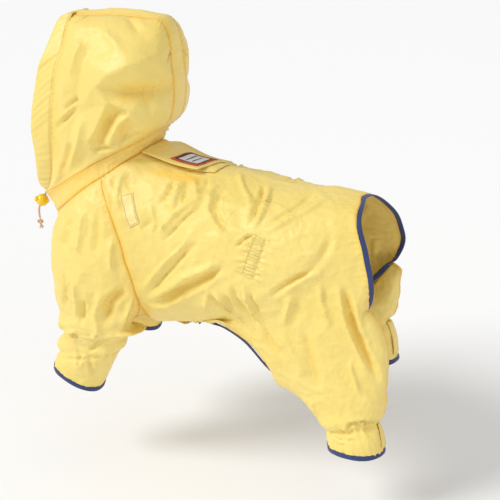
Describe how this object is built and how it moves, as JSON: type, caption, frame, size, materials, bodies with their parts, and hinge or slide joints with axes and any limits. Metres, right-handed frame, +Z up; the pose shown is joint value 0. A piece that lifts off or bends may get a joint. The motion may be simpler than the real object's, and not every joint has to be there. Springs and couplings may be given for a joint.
{
  "type": "dog raincoat",
  "caption": "Hooded waterproof dog coat with elastic-gathered sleeves and hind legs, bound open underside and tail opening, leash flap and a cord-locked hood.",
  "frame": {"origin": "inner face of the back over the withers, where the dog's back carries the coat", "axes": "+X towards the tail, -X towards the head, -Y the coat's left side, +Z up, as the coat stands on a dog"},
  "size_m": [0.4783, 0.2073, 0.4857],
  "materials": {
    "yellow_nylon": "thin plain-woven nylon with a soft sheen",
    "navy_binding": "matt woven binding tape",
    "woven_label": "woven label, matt",
    "pale_patch": "smooth pale patch, slightly glossy",
    "beige_cord": "braided elastic cord, matt",
    "yellow_plastic": "moulded, glossy"
  },
  "bodies": {
    "root": {"back_body": "yellow_nylon", "chest_panel": "yellow_nylon", "hind_inner_left": "yellow_nylon", "hind_inner_right": "yellow_nylon", "sleeve_left": "yellow_nylon", "sleeve_right": "yellow_nylon", "hood_side_left": "yellow_nylon", "hood_side_right": "yellow_nylon", "hood_gusset": "yellow_nylon", "hood_casing": "yellow_nylon", "neck_band": "yellow_nylon", "leash_flap": "yellow_nylon", "flap_tab": "yellow_nylon", "hem_tab_left": "yellow_nylon", "hem_tab_right": "yellow_nylon", "binding_opening": "navy_binding", "binding_front_left": "navy_binding", "binding_front_right": "navy_binding", "binding_hind_left": "navy_binding", "binding_hind_right": "navy_binding", "label": "woven_label", "patch_left": "pale_patch", "drawcord": "beige_cord", "cord_knot": "beige_cord", "cord_lock": "yellow_plastic"}
  },
  "joints": []
}
